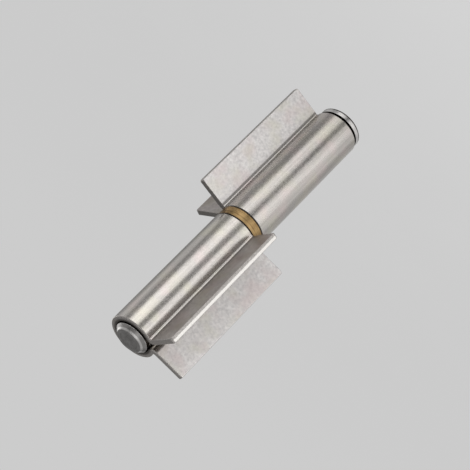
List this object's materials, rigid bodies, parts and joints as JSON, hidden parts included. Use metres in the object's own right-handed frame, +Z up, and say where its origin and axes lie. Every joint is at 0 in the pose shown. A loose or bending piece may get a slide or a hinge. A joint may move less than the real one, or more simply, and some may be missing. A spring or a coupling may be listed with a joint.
{
  "type": "gate hinge",
  "caption": "Weld-on lift-off gate hinge: rolled steel leaves with paired wings turn on a headed pin over a brass thrust washer.",
  "frame": {"origin": "centre of the pin head's underside, on the pin axis", "axes": "+Z up along the pin axis from its head to its tip, +X out of the middle of the lower leaf's mouth, between its wings"},
  "size_m": [0.0459, 0.0279, 0.1362],
  "materials": {
    "leaf_steel": "cold-rolled sheet, bright, drawn along the barrel",
    "pin_steel": "turned bar, greyer than the leaves",
    "washer_brass": "turned brass, slightly dulled"
  },
  "bodies": {
    "lower_half": {"lower_leaf": "leaf_steel", "hinge_pin": "pin_steel"},
    "washer": {"thrust_washer": "washer_brass"},
    "upper_half": {"upper_leaf": "leaf_steel"}
  },
  "joints": [
    {"name": "leaf_turn", "type": "hinge", "parent": "lower_half", "child": "washer", "pos_m": [0, 0, 0.069], "axis": [0, 0, 1], "continuous": true},
    {"name": "lift_off", "type": "slide", "parent": "washer", "child": "upper_half", "axis": [0, 0, 1], "range_m": [0, 0.07]}
  ]
}
